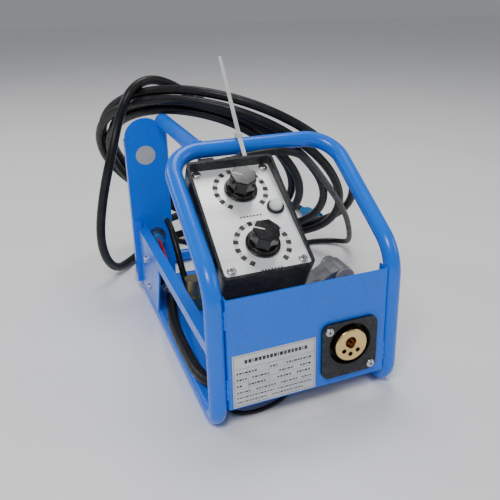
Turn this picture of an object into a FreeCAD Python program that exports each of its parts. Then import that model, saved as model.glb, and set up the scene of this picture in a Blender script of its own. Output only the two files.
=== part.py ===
import FreeCAD, Part
import math
import os

from FreeCAD import Placement, Rotation, Vector

# Portable wire feeder: a bent-tube carrier with a base plate, a front panel with a
# central torch socket, a tilted control box with two knobs and a jog button, a wire drive
# driven by a gear motor, and the leads that come with it.
# Working frame: X to the right, Y to the rear from the panel's front face, Z up from the floor.
# Exported frame: the same axes, origin below the middle of the carrier's bounding box.

DIMENSIONS = {
    # carrier tubes
    "tube_od": 19.0, "tube_wall": 1.5, "leg_x": 101.4, "leg_y": 7.6,
    "knee_z": 168.0, "top_y": 162.0, "top_z": 261.7, "skid_rear_y": 442.0,
    "foot_bend": 22.0, "knee_bend": 48.0, "corner_bend": 38.0, "skid_bend": 34.0,
    "spine_x": -65.0, "spine_elbow_bend": 30.0, "spine_foot_z": 150.0,
    # sheet metal
    "sheet": 2.0, "panel_half": 91.8, "panel_low": 27.5, "panel_high": 154.5,
    "panel_flange": 16.0, "base_half": 107.0, "base_front": 34.0, "base_top": 21.0,
    "rear_face_y": 350.0, "rear_left": -117.0, "rear_right": -60.0, "rear_top": 264.0,
    "rear_plate_gauge": 2.5, "rail_size": 12.7, "rail_top": 108.2,
    # control box, in its own tilted frame
    "box_left": -89.0, "box_right": 11.0, "box_low": 4.0, "box_high": 152.0,
    "box_depth": 38.0, "box_wall": 3.0, "rim_low": 1.5, "rim_high": 13.0,
    "knob_x": -35.5, "knob_low_u": 40.0, "knob_high_u": 115.0,
    "knob_body": 14.7, "knob_skirt": 18.5, "knob_height": 24.0, "skirt_height": 5.0,
    "jog_x": -5.5, "jog_u": 84.5, "jog_radius": 7.2, "jog_height": 9.0, "jog_travel": 3.0,
    # torch socket and wire line
    "wire_x": 45.6, "wire_z": 75.3, "flange_side": 66.5, "flange_z": 70.3,
    "cup_radius": 25.0, "cup_depth": 10.0, "socket_radius": 19.0, "socket_nose": 7.5,
    "socket_screw_pitch": 51.4,
    # wire drive
    "roll_y": 75.0, "drive_roll_radius": 17.5, "idler_radius": 15.0, "roll_gap": 0.6,
    "roll_width": 10.0, "shaft_radius": 5.0, "running_gap": 0.05,
    "arm_pivot_x": 71.5, "arm_pivot_z": 121.0, "arm_boss": 12.5, "arm_pin": 4.0,
    "screw_x": 23.3, "screw_radius": 3.0,
    # spool hub
    "hub_y": 255.0, "hub_z": 125.0, "hub_radius": 25.0, "hub_length": 62.0,
    # leads
    "main_lead": 13.0, "remote_lead": 9.0, "torch_lead": 4.5, "power_cable": 14.0,
    "gas_hose": 9.0, "coil_tilt": 52.0, "coil_heading": 50.0, "coil_skew": 18.3,
    "coil_long": 206.0, "coil_short": 178.0, "coil_inner": 142.0, "coil_shift": 36.0,
    "coil_thickness": 27.0,
    # origin of the exported frame
    "origin_x": -3.05, "origin_y": 222.0,
}

doc = FreeCAD.newDocument("wire_feeder")
sheet = doc.addObject("Spreadsheet::Sheet", "Params")
for row, (alias, value) in enumerate(DIMENSIONS.items(), start=1):
    sheet.set(f"A{row}", alias)
    sheet.set(f"B{row}", str(value))
    sheet.setAlias(f"B{row}", alias)
doc.recompute()


class Sizes:
    """The sheet's values, read back by name."""

    def __getattr__(self, name):
        return float(sheet.get(name))


D = Sizes()
X, Y, Z = Vector(1, 0, 0), Vector(0, 1, 0), Vector(0, 0, 1)
SLOPE = math.degrees(math.atan2(D.top_z - D.knee_z, D.top_y - D.leg_y))
CARRIER = Placement(Vector(-D.origin_x, -D.origin_y, 0), Rotation())
TILT = Placement(Vector(0, D.leg_y, D.knee_z), Rotation(X, SLOPE))
BOX = CARRIER * TILT
nodes = {}


# ---------------------------------------------------------------- general helpers

def bind(obj, prop, size):
    """Give a property a number, or a formula of the sheet's values."""
    if isinstance(size, str):
        obj.setExpression(prop, formula(size))
    else:
        setattr(obj, prop, size)


def formula(text):
    words = text.replace("(", " ( ").replace(")", " ) ").split()
    return " ".join("Params." + word if word in DIMENSIONS else word for word in words)


def box(corner, length, width, height):
    obj = doc.addObject("Part::Box", "Box")
    for prop, size in (("Length", length), ("Width", width), ("Height", height)):
        bind(obj, prop, size)
    obj.Placement = Placement(Vector(*corner), Rotation())
    return obj


def cylinder(base, axis, radius, height):
    obj = doc.addObject("Part::Cylinder", "Cylinder")
    bind(obj, "Radius", radius)
    bind(obj, "Height", height)
    obj.Placement = Placement(Vector(*base), Rotation(Z, Vector(*axis)))
    return obj


def cone(base, axis, radius, end_radius, height):
    obj = doc.addObject("Part::Cone", "Cone")
    bind(obj, "Radius1", radius)
    bind(obj, "Radius2", end_radius)
    bind(obj, "Height", height)
    obj.Placement = Placement(Vector(*base), Rotation(Z, Vector(*axis)))
    return obj


def fuse(*parts):
    obj = doc.addObject("Part::MultiFuse", "Fuse")
    obj.Shapes = list(parts)
    obj.Refine = True
    return obj


def cut(base, *tools):
    obj = doc.addObject("Part::Cut", "Cut")
    obj.Base = base
    obj.Tool = fuse(*tools) if len(tools) > 1 else tools[0]
    obj.Refine = True
    return obj


def rounded_path(points, radii, closed=False):
    """Straight runs joined by tangent arcs; one radius for each corner."""
    points = [Vector(*p) for p in points]
    count = len(points)
    corners = range(count) if closed else range(1, count - 1)
    starts, ends, arcs = list(points), list(points), {}
    for i in corners:
        before, here, after = points[i - 1], points[i], points[(i + 1) % count]
        back, ahead = (before - here).normalize(), (after - here).normalize()
        radius = radii[i] if isinstance(radii, (list, tuple)) else radii
        if radius <= 0:
            continue
        half = back.getAngle(ahead) / 2
        reach = radius / math.tan(half)
        starts[i], ends[i] = here + back * reach, here + ahead * reach
        middle = here + (back + ahead).normalize() * (radius / math.sin(half) - radius)
        arcs[i] = Part.Arc(starts[i], middle, ends[i])
    edges = []
    for i in range(count):
        if i in arcs:
            edges.append(arcs[i])
        if i + 1 < count or closed:
            following = (i + 1) % count
            if (starts[following] - ends[i]).Length > 1e-6:
                edges.append(Part.LineSegment(ends[i], starts[following]))
    return edges


def path_object(edges):
    obj = doc.addObject("Part::Feature", "Path")
    obj.Shape = Part.Wire([edge.toShape() for edge in edges])
    return obj


def sweep(path, start, heading, radius):
    ring = doc.addObject("Part::Circle", "Ring")
    bind(ring, "Radius", radius)
    ring.Placement = Placement(start, Rotation(Z, heading))
    obj = doc.addObject("Part::Sweep", "Sweep")
    obj.Sections = [ring]
    obj.Spine = (path, [])
    obj.Solid = True
    obj.Frenet = False
    return obj


def pipe(points, radii, outer, inner=None):
    """A round bar or, with an inner radius, a tube along a bent path."""
    edges = rounded_path(points, radii)
    start, heading = Vector(*points[0]), (Vector(*points[1]) - Vector(*points[0])).normalize()
    solid = sweep(path_object(edges), start, heading, outer)
    if inner is None:
        return solid
    return cut(solid, sweep(path_object(edges), start, heading, inner))


def lead(label, points, diameter):
    """A flexible lead: each bend is as large as its two runs allow."""
    vectors = [Vector(*p) for p in points]
    radii = [0.0] * len(points)
    for i in range(1, len(points) - 1):
        back, ahead = vectors[i - 1] - vectors[i], vectors[i + 1] - vectors[i]
        half_turn = (math.pi - back.getAngle(ahead)) / 2
        radii[i] = 0.45 * min(back.Length, ahead.Length) / math.tan(half_turn)
    solid = pipe(points, radii, diameter + " / 2")
    lead_checks.append((label, solid, rounded_path(points, radii), DIMENSIONS[diameter]))
    print(label, "bend radii", [round(r) for r in radii[1:-1]])
    return solid


lead_checks = []


def plane(body, role):
    return next(f for f in body.Origin.OriginFeatures if f.Role == role)


def sketch(body, role, offset, edges):
    obj = body.newObject("Sketcher::SketchObject", "Sketch")
    obj.AttachmentSupport = [(plane(body, role), "")]
    obj.MapMode = "FlatFace"
    obj.AttachmentOffset = Placement(Vector(0, 0, offset), Rotation())
    obj.addGeometry(edges)
    return obj


def circles(spots):
    return [Part.Circle(Vector(a, b, 0), Z, radius) for a, b, radius in spots]


def outline(points, radii=0.0):
    """A closed flat outline with rounded corners, as sketch geometry."""
    flat = [(a, b, 0) for a, b in points]
    edges = []
    for edge in rounded_path(flat, radii, closed=True):
        edges.append(edge if isinstance(edge, Part.LineSegment) else arc_of(edge))
    return edges


def arc_of(edge):
    curve = edge.toShape().Curve
    first, last = edge.toShape().ParameterRange
    return Part.ArcOfCircle(curve, first, last)


def rectangle(left, low, right, high, radius=0.0):
    return outline([(left, low), (right, low), (right, high), (left, high)], radius)


def new_body():
    return doc.addObject("PartDesign::Body", "Body")


def pad(body, profile, length, backwards=False):
    obj = body.newObject("PartDesign::Pad", "Pad")
    obj.Profile = profile
    bind(obj, "Length", length)
    obj.Reversed = backwards
    body.Tip = obj
    return obj


def pocket_through(body, profile):
    doc.recompute()
    before = body.Shape.Volume
    obj = body.newObject("PartDesign::Pocket", "Pocket")
    obj.Profile = profile
    obj.Type = "ThroughAll"
    obj.Midplane = True
    body.Tip = obj
    doc.recompute()
    assert body.Shape.Volume < before, "a pocket cut nothing"
    return obj


def revolve(profile_points, radii=0.0):
    """A turned piece about its own Z axis, from points (radius, height)."""
    body = new_body()
    profile = sketch(body, "XZ_Plane", 0, outline(profile_points, radii))
    obj = body.newObject("PartDesign::Revolution", "Revolution")
    obj.Profile = profile
    obj.ReferenceAxis = (profile, ["V_Axis"])
    obj.Angle = 360
    body.Tip = obj
    return body


def pose(obj, place):
    """Move a finished piece to its place in the exported frame."""
    obj.Placement = place.multiply(obj.Placement)
    return obj


def node(label, obj, place=CARRIER):
    """Name a finished piece and put it in the exported frame."""
    pose(obj, place)
    obj.Label = label
    nodes[label] = obj
    return obj


def group(label, solids, place=CARRIER):
    """Identical small pieces that share one name."""
    doc.recompute()
    obj = doc.addObject("Part::Compound", label)
    obj.Links = solids
    return node(label, obj, place)


def turned(base, axis, profile_points, radii=0.0):
    body = revolve(profile_points, radii)
    body.Placement = Placement(Vector(*base), Rotation(Z, Vector(*axis)))
    return body


def pan_screw(base, axis):
    """The M5 pan-head screw used everywhere, seated at base with its head along axis."""
    shank, head, height, length = SCREW_SHANK, 4.9, 3.0, 7.5
    points = [(0, -length), (shank, -length), (shank, 0), (head, 0), (head, height), (0, height)]
    return turned(base, axis, points, [0, 0, 0, 0, height * 0.6, 0])


SCREW_SHANK = 2.5


def screw_hole(base, axis, depth=8.0):
    """The hole that a screw of the same base and axis fills."""
    start = Vector(*base) - Vector(*axis) * (depth - 0.5)
    return cylinder(start, axis, SCREW_SHANK, depth)


# ---------------------------------------------------------------- the fastener used throughout

SCREW_SHANK = 2.5
screws = []


def pan_screw(base, axis, frame=None):
    """Seat one M5 pan-head screw at base, its head along axis."""
    head, height, length = 4.9, 3.0, 7.5
    points = [(0, -length), (SCREW_SHANK, -length), (SCREW_SHANK, 0), (head, 0),
              (head, height), (0, height)]
    screw = turned(base, axis, points, [0, 0, 0, 0, height * 0.6, 0])
    if frame is not None:
        pose(screw, frame)
    screws.append(screw)


def screw_hole(base, axis, clearance=0.0):
    """The hole for a screw of the same base and axis, as a tool to cut with."""
    start = Vector(*base) - Vector(*axis) * 8.0
    return cylinder(start, axis, SCREW_SHANK + clearance, 9.0)


# ---------------------------------------------------------------- the tube carrier

def hoop():
    """Front hoop: up the left leg, over the sloping top and down the right leg."""
    ground, start = D.tube_od / 2, D.leg_y + D.foot_bend + 4
    left = [(-D.leg_x, start, ground), (-D.leg_x, D.leg_y, ground),
            (-D.leg_x, D.leg_y, D.knee_z), (-D.leg_x, D.top_y, D.top_z)]
    right = [(-x, y, z) for x, y, z in reversed(left)]
    bends = [0, D.foot_bend, D.knee_bend, D.corner_bend]
    radii = bends + bends[::-1]
    return pipe(left + right, radii, "tube_od / 2", "tube_od / 2 - tube_wall")


def skids():
    """Floor runners joined by the rear cross tube."""
    ground, start = D.tube_od / 2, D.leg_y + D.foot_bend + 4
    points = [(-D.leg_x, start, ground), (-D.leg_x, D.skid_rear_y, ground),
              (D.leg_x, D.skid_rear_y, ground), (D.leg_x, start, ground)]
    radii = [0, D.skid_bend, D.skid_bend, 0]
    return pipe(points, radii, "tube_od / 2", "tube_od / 2 - tube_wall")


def spine():
    """Carrying spine from the hoop's top bar, turned down behind the rear plate."""
    drop_y = D.rear_face_y + D.rear_plate_gauge + D.tube_od / 2
    points = [(D.spine_x, D.top_y + 2, D.top_z), (D.spine_x, drop_y, D.top_z),
              (D.spine_x, drop_y, D.spine_foot_z)]
    tube = pipe(points, [0, D.spine_elbow_bend, 0], "tube_od / 2", "tube_od / 2 - tube_wall")
    coping = cylinder((-D.leg_x, D.top_y, D.top_z), (1, 0, 0), "tube_od / 2", "leg_x")
    return cut(tube, coping)


def rail():
    """Square side rail from the left leg to the rear plate, with its hook tab."""
    low = D.rail_top - D.rail_size
    left = -D.leg_x - D.tube_od / 2
    wall = 1.5
    bar = box((left, D.leg_y, low), "rail_size", "rear_face_y - leg_y", "rail_size")
    core = box((left + wall, D.leg_y - 1, low + wall), D.rail_size - 2 * wall,
               D.rear_face_y - D.leg_y + 2, D.rail_size - 2 * wall)
    leg = cylinder((-D.leg_x, D.leg_y, low - 1), (0, 0, 1), "tube_od / 2", "rail_size + 2")
    tab = box((D.rear_left + 3, D.rear_face_y - 9, D.rail_top), 8.0, 9.0, 9.0)
    return fuse(cut(bar, core, leg), tab)


GUSSET_X = -D.leg_x - D.tube_od / 2
GUSSET_SCREWS = [(GUSSET_X, 304, 75), (GUSSET_X, 295, 36)]


def side_gusset():
    """Side plate that closes the rear of the left flank, below the rail."""
    low, high, fold = D.base_top, D.rail_top - D.rail_size, 346
    body = new_body()
    points = [(246, low), (fold + 2, low), (fold + 2, high), (220, high), (220, high - 14)]
    pad(body, sketch(body, "YZ_Plane", GUSSET_X, outline(points)), "sheet")
    lip = rectangle(GUSSET_X, fold, GUSSET_X + 9, fold + 2)
    pad(body, sketch(body, "XY_Plane", low, lip), high - low)
    return cut(body, *[screw_hole(spot, (-1, 0, 0)) for spot in GUSSET_SCREWS])


BLOCK_SCREWS = [(19, 46, 24), (19, 106, 24)]


def base_plate():
    body = new_body()
    edge = rectangle(-D.base_half, D.base_front, D.base_half, D.rear_face_y + 4, 6.0)
    pad(body, sketch(body, "XY_Plane", D.base_top - D.sheet, edge), "sheet")
    fixings = [(x, y, 3.25) for x in (-80, 80) for y in (130, 330)]
    passages = [(-70, 88, 5.0), (4, 108, 5.0)]
    block = [(x, y, SCREW_SHANK) for x, y, _ in BLOCK_SCREWS]
    holes = circles(fixings + passages + block)
    pocket_through(body, sketch(body, "XY_Plane", D.base_top, holes))
    return body


SOCKET_REACH = D.socket_screw_pitch / 2
SOCKET_SCREWS = [(D.wire_x - SOCKET_REACH, -4, D.flange_z + SOCKET_REACH),
                 (D.wire_x + SOCKET_REACH, -4, D.flange_z - SOCKET_REACH)]


def front_panel():
    """Folded front panel with the torch socket's opening."""
    half, gauge, deep, bend = D.panel_half, D.sheet, D.panel_flange, 2.6
    inner = half - gauge
    points = [(-half, 0), (half, 0), (half, deep), (inner, deep), (inner, gauge),
              (-inner, gauge), (-inner, deep), (-half, deep)]
    radii = [bend, bend, 0, 0, bend - gauge, bend - gauge, 0, 0]
    body = new_body()
    pad(body, sketch(body, "XY_Plane", D.panel_low, outline(points, radii)),
        "panel_high - panel_low")
    holes = [(D.wire_x, D.wire_z, D.cup_radius + 2)]
    holes += [(x, z, SCREW_SHANK) for x, _, z in SOCKET_SCREWS]
    pocket_through(body, sketch(body, "XZ_Plane", 0, circles(holes)))
    return body


def rear_plate():
    """Upright rear plate with a rounded top and a stiffening lip on its outer edge."""
    body = new_body()
    left, right, low, high = D.rear_left, D.rear_right, D.base_top, D.rear_top
    crown = (right - left) / 2 - 0.2
    face = outline([(left, low), (right, low), (right, high), (left, high)],
                   [0, 0, crown, crown])
    pad(body, sketch(body, "XZ_Plane", -D.rear_face_y, face), "rear_plate_gauge", True)
    lip = rectangle(left, D.rear_face_y + 1, left + D.sheet, D.rear_face_y + 12)
    pad(body, sketch(body, "XY_Plane", low, lip), high - low - crown)
    holes = [(-88, 52, 10.0), (-84, 91, 8.0), (-68, 112, 4.0)]
    pocket_through(body, sketch(body, "XZ_Plane", -D.rear_face_y, circles(holes)))
    return body


def box_bracket():
    """Strap along the left sloping leg that the control box hangs on."""
    strap = box((-92.4, 24, -12), 2.0, 112, 9.0)
    ledge = box((-92.4, 24, -42.5), 2.0, 18, 40.0)
    shelf = box((-92.4, 24, -42.5), 90, 18, 2.0)
    return fuse(strap, ledge, shelf)


node("hoop_tube", hoop())
node("skid_tube", skids())
node("spine_tube", spine())
node("side_rail", rail())
node("side_gusset", side_gusset())
node("base_plate", base_plate())
node("front_panel", front_panel())
node("rear_plate", rear_plate())
node("box_bracket", box_bracket(), BOX)
node("nameplate", box((-87, -0.5, 29), 93, 0.5, 62.5))
for spot in GUSSET_SCREWS:
    pan_screw(spot, (-1, 0, 0))
for spot in SOCKET_SCREWS:
    pan_screw(spot, (0, -1, 0))
for spot in BLOCK_SCREWS:
    pan_screw(spot, (0, 0, 1))


# ---------------------------------------------------------------- the control box

FACE_SCREWS = [(x, u, 0) for x in (-77.5, -0.5) for u in (13.5, 142.5)]
BOARD_POSTS = [(x, u) for x in (-68, -10) for u in (26, 126)]
KNOBS = {"lower": D.knob_low_u, "upper": D.knob_high_u}
for spot in FACE_SCREWS:
    pan_screw(spot, (0, 0, 1), TILT)


def box_housing():
    """Open black tray whose rim rises towards its upper end, with posts inside."""
    body = new_body()
    low, high, deep, wall = D.box_low, D.box_high, D.box_depth, D.box_wall
    side = outline([(low, -deep), (high, -deep), (high, D.rim_high), (low, D.rim_low)])
    pad(body, sketch(body, "YZ_Plane", D.box_left, side), "box_right - box_left")
    doc.recompute()
    hollow = body.newObject("PartDesign::Pocket", "Pocket")
    hollow.Profile = sketch(body, "XY_Plane", wall - deep, rectangle(
        D.box_left + wall, low + wall, D.box_right - wall, high - wall, 4.0))
    hollow.Length = deep + D.rim_high
    hollow.Reversed = True
    body.Tip = hollow
    doc.recompute()
    corners = [f"Edge{i}" for i, edge in enumerate(body.Shape.Edges, start=1)
               if upright_outer_corner(edge)]
    fillet = body.newObject("PartDesign::Fillet", "Fillet")
    fillet.Base = (hollow, corners)
    fillet.Radius = 6.0
    body.Tip = fillet
    posts = [cylinder((x, u, 1 - deep), (0, 0, 1), 4.6, "box_depth - 3") for x, u, _ in FACE_SCREWS]
    posts += [cylinder((x, u, 1 - deep), (0, 0, 1), 3.0, 8.0) for x, u in BOARD_POSTS]
    threads = [screw_hole(spot, (0, 0, 1)) for spot in FACE_SCREWS]
    gland_hole = cylinder((-60, high - 6, -7.5), (0, 1, 0), 5.0, 8)
    return cut(fuse(body, *posts), gland_hole, *threads)


def upright_outer_corner(edge):
    """True for a straight edge along the box's depth at an outer corner."""
    if len(edge.Vertexes) != 2 or edge.Length < 20:
        return False
    a, b = edge.Vertexes[0].Point, edge.Vertexes[1].Point
    at_side = min(abs(a.x - D.box_left), abs(a.x - D.box_right)) < 0.01
    at_end = min(abs(a.y - D.box_low), abs(a.y - D.box_high)) < 0.01
    return abs(a.x - b.x) + abs(a.y - b.y) < 1e-6 and at_side and at_end


def face_plate():
    body = new_body()
    gap = D.box_wall + 0.3
    edge = rectangle(D.box_left + gap, D.box_low + gap, D.box_right - gap, D.box_high - gap, 4.0)
    pad(body, sketch(body, "XY_Plane", -2, edge), "sheet")
    holes = [(D.knob_x, u, 5.0) for u in KNOBS.values()]
    holes += [(D.jog_x, D.jog_u, 8.5)] + [(x, u, SCREW_SHANK) for x, u, _ in FACE_SCREWS]
    pocket_through(body, sketch(body, "XY_Plane", 0, circles(holes)))
    return body


def knob():
    """Seven-sided pointer knob on a round skirt, moulded on its spindle."""
    prism = doc.addObject("Part::Prism", "Prism")
    prism.Polygon = 7
    bind(prism, "Circumradius", "knob_body")
    bind(prism, "Height", "knob_height - skirt_height")
    prism.Placement = Placement(Vector(0, 0, D.skirt_height), Rotation(Z, 12))
    doc.recompute()
    top_edges = [(i, 0.9, 0.9) for i, edge in enumerate(prism.Shape.Edges, start=1)
                 if min(v.Z for v in edge.Vertexes) > D.knob_height - 0.01]
    bevel = doc.addObject("Part::Chamfer", "Chamfer")
    bevel.Base = prism
    bevel.Edges = top_edges
    rim, low, high = D.knob_skirt, 1.0, D.skirt_height
    skirt = turned((0, 0, 0), (0, 0, 1),
                   [(0, low), (rim, low), (rim, 3), (rim - 2, 3), (rim - 3, high + 1), (0, high + 1)],
                   [0, 0.6, 0.6, 0.4, 0.8, 0])
    return fuse(bevel, skirt, cylinder((0, 0, -11.5), (0, 0, 1), 3.0, 20))


def potentiometer():
    """Round potentiometer with its threaded bush, bored for the knob's spindle."""
    can = cylinder((0, 0, -15), (0, 0, 1), 12.0, 12.4)
    bush = cylinder((0, 0, -3), (0, 0, 1), 4.6, 3.8)
    tags = box((-6, -17, -8), 12, 8, 1.2)
    return cut(fuse(can, bush, tags), cylinder((0, 0, -12), (0, 0, 1), "3 + running_gap", 14))


def jog_button():
    """Domed push button on a thin stem."""
    cap, top = D.jog_radius, D.jog_height
    return turned((0, 0, 0), (0, 0, 1),
                  [(0, -9), (2.0, -9), (2.0, -3), (cap, -3), (cap, top), (0, top)],
                  [0, 0, 0, 0, 4.5, 0])


def jog_switch():
    """Switch body with the threaded bush and the round bezel of the push button."""
    case = box((-8, -7, -24), 16, 14, 12)
    bush = turned((0, 0, 0), (0, 0, 1),
                  [(7.5, -12), (8.4, -12), (8.4, 0.1), (9.6, 0.1), (9.6, 2.6), (7.5, 2.6)],
                  [0, 0, 0, 0, 1.0, 0.3])
    return cut(fuse(case, bush), cylinder((0, 0, -20), (0, 0, 1), 2.3, 9))


def circuit_board():
    board = box((-72, 22, -29), 66, 108, 1.6)
    return cut(board, *[cylinder((x, u, -30), (0, 0, 1), 1.6, 4) for x, u in BOARD_POSTS])


def box_gland():
    """Elbow on the box's upper wall that the remote lead comes out of, to the right."""
    back = D.box_high
    spigot = cylinder((-60, back - 3, -7.5), (0, 1, 0), 5.0, 4)
    block = box((-69, back, -14), 18, 16, 13)
    return fuse(spigot, block)


for place_name, u in KNOBS.items():
    spot = BOX * Placement(Vector(D.knob_x, u, 0), Rotation())
    node("knob_" + place_name, knob(), spot)
    node("pot_" + place_name, potentiometer(), spot)
JOG = BOX * Placement(Vector(D.jog_x, D.jog_u, 0), Rotation())
node("jog_button", jog_button(), JOG)
node("jog_switch", jog_switch(), JOG)
node("box_housing", box_housing(), BOX)
node("face_plate", face_plate(), BOX)
node("box_circuit_board", circuit_board(), BOX)
node("box_gland", box_gland(), BOX)


# ---------------------------------------------------------------- the torch socket

def socket_flange():
    """Square flange with a round cup that the brass socket stands in."""
    body = new_body()
    half, x, z = D.flange_side / 2, D.wire_x, D.flange_z
    pad(body, sketch(body, "XZ_Plane", 0, rectangle(x - half, z - half, x + half, z + half, 9.0)),
        4.0)
    cup = cylinder((x, -1, D.wire_z), (0, 1, 0), "cup_radius + 2", "cup_depth + 3")
    recess = cylinder((x, -5, D.wire_z), (0, 1, 0), "cup_radius", "cup_depth + 5")
    bore = cylinder((x, 0, D.wire_z), (0, 1, 0), "socket_radius", 20)
    return cut(fuse(body, cup), recess, bore, *[screw_hole(s, (0, -1, 0)) for s in SOCKET_SCREWS])


def socket_body():
    """Brass central socket: gas and wire bore above, contact holes below."""
    nose, radius = D.socket_nose, D.socket_radius
    barrel = turned((D.wire_x, -nose, D.wire_z), (0, 1, 0),
                    [(0, 0), (radius, 0), (radius, 30), (15, 30), (15, 42), (0, 42)],
                    [0, 1.6, 0, 0, 1.0, 0])
    bore = cylinder((D.wire_x, -nose - 1, D.wire_z), (0, 1, 0), 4.05, 44)
    mouth = cylinder((D.wire_x - 1, -nose - 1, D.wire_z + 4.0), (0, 1, 0), 6.5, 22)
    pins = [cylinder((D.wire_x + 10.5 * math.cos(math.radians(turn)), -nose - 1,
                      D.wire_z + 10.5 * math.sin(math.radians(turn))), (0, 1, 0), 2.7, 15)
            for turn in (-148, -96, -43)]
    return cut(barrel, bore, mouth, *pins)


node("socket_flange", socket_flange())
node("socket_body", socket_body())
node("socket_nut", cut(cylinder((D.wire_x, D.cup_depth + 2.1, D.wire_z), (0, 1, 0), 24, 6),
                       cylinder((D.wire_x, 10, D.wire_z), (0, 1, 0), "socket_radius", 10)))


# ---------------------------------------------------------------- the wire drive

DRIVE_Z = D.wire_z - D.drive_roll_radius
IDLER_Z = D.wire_z + D.roll_gap + D.idler_radius
PIVOT = (D.arm_pivot_x, 0, D.arm_pivot_z)


def feed_block():
    """Cast block: upright plate and foot, guide holders, stop lug and the arm's hinge post."""
    upright = box((28, 40, 21), 4, 72, 75)  # notched below, so that the idler can swing over it
    foot = box((14, 40, 21), 18, 72, 3)
    holders = [box((32, y, D.wire_z - 8.5), 22, 10, 17) for y in (42, 100)]
    stop = fuse(box((17, 68, 85.3), 7.5, 14, 7.7), box((24.5, 68, 85.3), 3.5, 14, 2.0),
                box((26.2, 68, 77), 1.8, 14, 9.0))
    notch = box((28, 57, 82), 6, 36, 20)
    bridge = box((32, 91, 21), 49, 12, 5)
    post = box((62, 91, 25), 19, 12, 96)
    head = cylinder((D.arm_pivot_x, 91, D.arm_pivot_z), (0, 1, 0), 9.5, 12)
    holes = [cylinder((27, D.roll_y, DRIVE_Z), (1, 0, 0), 11.0, 6),
             cylinder((D.arm_pivot_x, 90, D.arm_pivot_z), (0, 1, 0), "arm_pin", 14)]
    holes += [cylinder((D.wire_x, y, D.wire_z), (0, 1, 0), 4.0, 14) for y in (40, 98)]
    holes += [screw_hole(spot, (0, 0, 1)) for spot in BLOCK_SCREWS]
    return cut(fuse(cut(upright, notch), foot, *holders, stop, bridge, post, head), *holes)


def grooved_roll(radius, bore):
    """Feed roll about its own Z axis, centred on its groove."""
    half, groove = D.roll_width / 2, 1.2
    return revolve([(bore, -half), (radius - 0.6, -half), (radius, -half + 0.6),
                    (radius, -groove / 2), (radius - 0.6, 0), (radius, groove / 2),
                    (radius, half - 0.6), (radius - 0.6, half), (bore, half)])


def place_roll(body, height):
    body.Placement = Placement(Vector(D.wire_x, D.roll_y, height), Rotation(Z, X))
    return body


def pressure_arm():
    """Lever that carries the idler roll between two cheeks, hinged at its right end."""
    body = new_body()
    px, pz, boss = D.arm_pivot_x, D.arm_pivot_z, D.arm_boss
    lever = outline([(16, 103), (56, 103), (px, pz - boss + 1), (px, pz + boss - 0.6),
                     (56, 129), (42, 121), (31, 113), (16, 113)], [2, 8, 0, 0, 4, 4, 4, 2])
    pad(body, sketch(body, "XZ_Plane", -60, lever), 30.0, True)
    hub = cylinder((px, 60, pz), (0, 1, 0), "arm_boss", 30)
    cheeks = [box((x, 68, IDLER_Z - 7), 3.6, 14, 111 - IDLER_Z) for x in (36, 51.6)]
    roll_slot = box((39.6, 59, 100), 12, 32, 7.5)
    screw_bore = cylinder((D.screw_x, D.roll_y, 95), (0, 0, 1), "screw_radius + running_gap", 30)
    pin_bore = cylinder((px, 59, pz), (0, 1, 0), "arm_pin + running_gap", 32)
    axle_bore = cylinder((35, D.roll_y, IDLER_Z), (1, 0, 0), 3.0, 21)
    return cut(fuse(body, hub, *cheeks), roll_slot, screw_bore, pin_bore, axle_bore)


def motor_case():
    casing = cylinder((-72, D.roll_y, DRIVE_Z), (1, 0, 0), 29.0, 74)
    cap = cylinder((-78, D.roll_y, DRIVE_Z), (1, 0, 0), 26.0, 6.0)
    brushes = [cylinder((-66, D.roll_y + s * 27, DRIVE_Z), (0, s, 0), 5.0, 5.5) for s in (-1, 1)]
    return fuse(casing, cap, *brushes)


def gearbox_case():
    shell = cylinder((2.2, D.roll_y, DRIVE_Z), (1, 0, 0), 27.0, 23.8)
    nose = cylinder((26, D.roll_y, DRIVE_Z), (1, 0, 0), 18.0, 1.9)
    bore = cylinder((20, D.roll_y, DRIVE_Z), (1, 0, 0), "shaft_radius + running_gap", 9)
    return cut(fuse(shell, nose), bore)


def ring_bearing():
    outer = cylinder((28, D.roll_y, DRIVE_Z), (1, 0, 0), 11.0, 5)
    return cut(outer, cylinder((27, D.roll_y, DRIVE_Z), (1, 0, 0), "shaft_radius + running_gap", 7))


def roll_nut():
    """Knurled cap nut that holds the drive roll on its shaft."""
    shaft = D.shaft_radius
    return turned((50.7, D.roll_y, DRIVE_Z), (1, 0, 0),
                  [(shaft, 0), (9.5, 0), (9.5, 6.5), (7, 8.5), (0, 8.5), (0, 7.8), (shaft, 7.8)])


def adjuster_knob():
    """Pressure adjusting screw with the grip moulded on its upper end."""
    grip = turned((D.screw_x, D.roll_y, 124), (0, 0, 1),
                  [(0, 0), (6.5, 0), (8.5, 3), (8.5, 12), (0, 12)], [0, 0.5, 1, 2.2, 0])
    return fuse(grip, cylinder((D.screw_x, D.roll_y, 93.4), (0, 0, 1), "screw_radius", 36))


def adjuster_spring():
    outer = cylinder((D.screw_x, D.roll_y, 113), (0, 0, 1), 5.6, 10.6)
    return cut(outer, cylinder((D.screw_x, D.roll_y, 112), (0, 0, 1), 3.6, 13))


def wire_guide(start):
    tube = cylinder((D.wire_x, start, D.wire_z), (0, 1, 0), 4.0, 26)
    return cut(tube, cylinder((D.wire_x, start - 1, D.wire_z), (0, 1, 0), 1.0, 28))


def hinge_pin():
    """Hinge pin with the broad ringed cap on its front end."""
    cap = turned((D.arm_pivot_x, 59.6, D.arm_pivot_z), (0, -1, 0),
                 [(4.2, 0), (12.2, 0), (12.2, 3.2), (4.2, 3.2)], [0, 0, 1.2, 0.5])
    pin = cylinder((D.arm_pivot_x, 57.5, D.arm_pivot_z), (0, 1, 0), "arm_pin", 45)
    web = cylinder((D.arm_pivot_x, 58.6, D.arm_pivot_z), (0, 1, 0), 5.0, 1.0)
    return fuse(cap, pin, web)


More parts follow.
